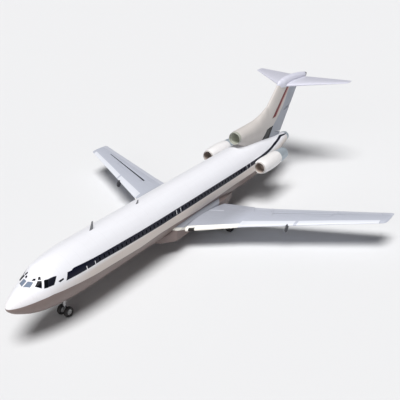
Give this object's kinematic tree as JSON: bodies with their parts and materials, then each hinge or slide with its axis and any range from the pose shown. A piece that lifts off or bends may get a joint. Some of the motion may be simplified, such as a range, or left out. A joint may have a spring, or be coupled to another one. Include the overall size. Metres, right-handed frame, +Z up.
{
  "type": "1:2 scale model of a narrow body airliner",
  "caption": "Narrow body airliner at half scale: swept wing, T tail, engines at the tail, working flaps, slats, rudders and airstair, on its gear.",
  "frame": {"origin": "centre of the bounding box on the floor under the aircraft", "axes": "+Y from nose to tail, +X to the aircraft's left (port) wing tip, +Z up"},
  "size_m": [16.46, 23.08, 5.24],
  "materials": {
    "white_paint": "gloss",
    "wing_grey": "satin",
    "belly_grey": "satin",
    "bare_metal": "polished",
    "exhaust_metal": "heat-dulled",
    "gear_paint": "satin",
    "tyre_rubber": "matte"
  },
  "bodies": {
    "airframe": {"belly_fairing": "belly_grey", "blade_antenna": "exhaust_metal", "bullet_fairing": "white_paint", "center_engine": "exhaust_metal", "center_exhaust": "exhaust_metal", "center_intake_lip": "bare_metal", "cowl_left": "white_paint", "cowl_right": "white_paint", "engine_left": "exhaust_metal", "engine_right": "exhaust_metal", "exhaust_left": "exhaust_metal", "exhaust_right": "exhaust_metal", "fin": "white_paint", "fuselage": "white_paint", "main_door_left": "white_paint", "main_door_right": "white_paint", "main_leg_left": "gear_paint", "main_leg_right": "gear_paint", "nose_leg": "gear_paint", "pylon_left": "white_paint", "pylon_right": "white_paint", "radome": "white_paint", "wing_left": "wing_grey", "wing_right": "wing_grey"},
    "nose_steering": {"nose_fork": "gear_paint"},
    "nose_wheels": {"nose_wheel_hubs": "gear_paint", "nose_wheel_tyre_left": "tyre_rubber", "nose_wheel_tyre_right": "tyre_rubber"},
    "main_wheels_left": {"main_wheel_left_hubs": "gear_paint", "main_wheel_left_tyre_left": "tyre_rubber", "main_wheel_left_tyre_right": "tyre_rubber"},
    "main_wheels_right": {"main_wheel_right_hubs": "gear_paint", "main_wheel_right_tyre_left": "tyre_rubber", "main_wheel_right_tyre_right": "tyre_rubber"},
    "fan_left": {"fan_left": "bare_metal"},
    "fan_right": {"fan_right": "bare_metal"},
    "inboard_aileron_left": {"inboard_aileron_left": "wing_grey"},
    "inboard_aileron_right": {"inboard_aileron_right": "wing_grey"},
    "outboard_aileron_left": {"outboard_aileron_left": "wing_grey"},
    "outboard_aileron_right": {"outboard_aileron_right": "wing_grey"},
    "inboard_flap_left": {"inboard_flap_left": "wing_grey"},
    "inboard_flap_right": {"inboard_flap_right": "wing_grey"},
    "outboard_flap_left": {"outboard_flap_left": "wing_grey"},
    "outboard_flap_right": {"outboard_flap_right": "wing_grey"},
    "inboard_spoiler_left": {"inboard_spoiler_left": "wing_grey"},
    "inboard_spoiler_right": {"inboard_spoiler_right": "wing_grey"},
    "outboard_spoiler_left": {"outboard_spoiler_left": "wing_grey"},
    "outboard_spoiler_right": {"outboard_spoiler_right": "wing_grey"},
    "slat_left": {"slat_left": "bare_metal"},
    "slat_right": {"slat_right": "bare_metal"},
    "tailplane": {"tailplane_left": "white_paint", "tailplane_right": "white_paint"},
    "elevator_left": {"elevator_left": "white_paint"},
    "elevator_right": {"elevator_right": "white_paint"},
    "lower_rudder": {"lower_rudder": "wing_grey"},
    "upper_rudder": {"upper_rudder": "wing_grey"},
    "airstair": {"airstair": "belly_grey"}
  },
  "joints": [
    {"name": "nose_steering_turn", "type": "hinge", "parent": "airframe", "child": "nose_steering", "pos_m": [0, -8.91, 0.475], "axis": [0, 0, 1], "range_deg": [-78, 78]},
    {"name": "nose_wheels_spin", "type": "hinge", "parent": "nose_steering", "child": "nose_wheels", "pos_m": [0, -8.91, 0.2025], "axis": [1, 0, 0], "continuous": true},
    {"name": "main_wheels_left_spin", "type": "hinge", "parent": "airframe", "child": "main_wheels_left", "pos_m": [1.43, 0.31, 0.31125], "axis": [1, 0, 0], "continuous": true},
    {"name": "main_wheels_right_spin", "type": "hinge", "parent": "airframe", "child": "main_wheels_right", "pos_m": [-1.43, 0.31, 0.31125], "axis": [1, 0, 0], "continuous": true},
    {"name": "fan_left_spin", "type": "hinge", "parent": "airframe", "child": "fan_left", "pos_m": [1.475, 3.86, 2.07], "axis": [0, 1, 0], "continuous": true},
    {"name": "fan_right_spin", "type": "hinge", "parent": "airframe", "child": "fan_right", "pos_m": [-1.475, 3.86, 2.07], "axis": [0, 1, 0], "continuous": true},
    {"name": "inboard_aileron_left_swing", "type": "hinge", "parent": "airframe", "child": "inboard_aileron_left", "pos_m": [3.1, 0.6805, 1.10936], "axis": [0.9051, 0.4228, 0.0448], "range_deg": [-20, 20]},
    {"name": "inboard_aileron_right_swing", "type": "hinge", "parent": "airframe", "child": "inboard_aileron_right", "pos_m": [-3.1, 0.6805, 1.10936], "axis": [0.9051, -0.4228, -0.0448], "range_deg": [-20, 20]},
    {"name": "outboard_aileron_left_swing", "type": "hinge", "parent": "airframe", "child": "outboard_aileron_left", "pos_m": [7.015, 2.51025, 1.30246], "axis": [0.905, 0.423, 0.0446], "range_deg": [-20, 20]},
    {"name": "outboard_aileron_right_swing", "type": "hinge", "parent": "airframe", "child": "outboard_aileron_right", "pos_m": [-7.015, 2.51025, 1.30246], "axis": [0.905, -0.423, -0.0446], "range_deg": [-20, 20]},
    {"name": "inboard_flap_left_swing", "type": "hinge", "parent": "airframe", "child": "inboard_flap_left", "pos_m": [1.68462, 0.57, 0.65705], "axis": [-0.9985, 0, -0.0557], "range_deg": [0, 40]},
    {"name": "inboard_flap_right_swing", "type": "hinge", "parent": "airframe", "child": "inboard_flap_right", "pos_m": [-1.68462, 0.57, 0.65705], "axis": [-0.9985, 0, 0.0557], "range_deg": [0, 40]},
    {"name": "outboard_flap_left_swing", "type": "hinge", "parent": "airframe", "child": "outboard_flap_left", "pos_m": [4.83347, 1.482, 0.81944], "axis": [-0.9051, -0.4229, -0.0446], "range_deg": [0, 40]},
    {"name": "outboard_flap_right_swing", "type": "hinge", "parent": "airframe", "child": "outboard_flap_right", "pos_m": [-4.83347, 1.482, 0.81944], "axis": [-0.9051, 0.4229, 0.0446], "range_deg": [0, 40]},
    {"name": "inboard_spoiler_left_swing", "type": "hinge", "parent": "airframe", "child": "inboard_spoiler_left", "pos_m": [1.725, 0.17, 1.15336], "axis": [0.9986, 0, 0.0534], "range_deg": [0, 45]},
    {"name": "inboard_spoiler_right_swing", "type": "hinge", "parent": "airframe", "child": "inboard_spoiler_right", "pos_m": [-1.725, 0.17, 1.15336], "axis": [0.9986, 0, -0.0534], "range_deg": [0, 45]},
    {"name": "outboard_spoiler_left_swing", "type": "hinge", "parent": "airframe", "child": "outboard_spoiler_left", "pos_m": [4.8, 1.04499, 1.28642], "axis": [0.9054, 0.4231, 0.0355], "range_deg": [0, 45]},
    {"name": "outboard_spoiler_right_swing", "type": "hinge", "parent": "airframe", "child": "outboard_spoiler_right", "pos_m": [-4.8, 1.04499, 1.28642], "axis": [0.9054, -0.4231, -0.0355], "range_deg": [0, 45]},
    {"name": "slat_left_slide", "type": "slide", "parent": "airframe", "child": "slat_left", "axis": [0, -0.9397, -0.342], "range_m": [0, 0.15]},
    {"name": "slat_right_slide", "type": "slide", "parent": "airframe", "child": "slat_right", "axis": [0, -0.9397, -0.342], "range_m": [0, 0.15]},
    {"name": "tailplane_trim", "type": "hinge", "parent": "airframe", "child": "tailplane", "pos_m": [0, 10.16, 4.83], "axis": [1, 0, 0], "range_deg": [-0.5, 12.5]},
    {"name": "elevator_left_swing", "type": "hinge", "parent": "tailplane", "child": "elevator_left", "pos_m": [1.5175, 10.7775, 4.81949], "axis": [0.9315, 0.3637, -0.0076], "range_deg": [-15, 25]},
    {"name": "elevator_right_swing", "type": "hinge", "parent": "tailplane", "child": "elevator_right", "pos_m": [-1.5175, 10.7775, 4.81949], "axis": [0.9315, -0.3637, 0.0076], "range_deg": [-15, 25]},
    {"name": "lower_rudder_swing", "type": "hinge", "parent": "airframe", "child": "lower_rudder", "pos_m": [0, 8.185, 2.96], "axis": [0, 0.7033, 0.7109], "range_deg": [-25, 25]},
    {"name": "upper_rudder_swing", "type": "hinge", "parent": "airframe", "child": "upper_rudder", "pos_m": [0, 9.3075, 4.095], "axis": [0, 0.7023, 0.7119], "range_deg": [-25, 25]},
    {"name": "airstair_swing", "type": "hinge", "parent": "airframe", "child": "airstair", "pos_m": [0, 5.825, 1.13205], "axis": [-1, 0, 0], "range_deg": [0, 45]}
  ],
  "couplings": [
    {"joint": "inboard_aileron_left_swing", "follows": "outboard_aileron_left_swing", "ratio": 1},
    {"joint": "inboard_aileron_right_swing", "follows": "outboard_aileron_left_swing", "ratio": -1},
    {"joint": "outboard_aileron_right_swing", "follows": "outboard_aileron_left_swing", "ratio": -1},
    {"joint": "inboard_flap_left_swing", "follows": "outboard_flap_left_swing", "ratio": 1},
    {"joint": "inboard_flap_right_swing", "follows": "outboard_flap_left_swing", "ratio": 1},
    {"joint": "outboard_flap_right_swing", "follows": "outboard_flap_left_swing", "ratio": 1},
    {"joint": "inboard_spoiler_left_swing", "follows": "outboard_spoiler_left_swing", "ratio": 1},
    {"joint": "inboard_spoiler_right_swing", "follows": "outboard_spoiler_left_swing", "ratio": 1},
    {"joint": "outboard_spoiler_right_swing", "follows": "outboard_spoiler_left_swing", "ratio": 1},
    {"joint": "slat_right_slide", "follows": "slat_left_slide", "ratio": 1},
    {"joint": "elevator_right_swing", "follows": "elevator_left_swing", "ratio": 1},
    {"joint": "upper_rudder_swing", "follows": "lower_rudder_swing", "ratio": 1}
  ]
}
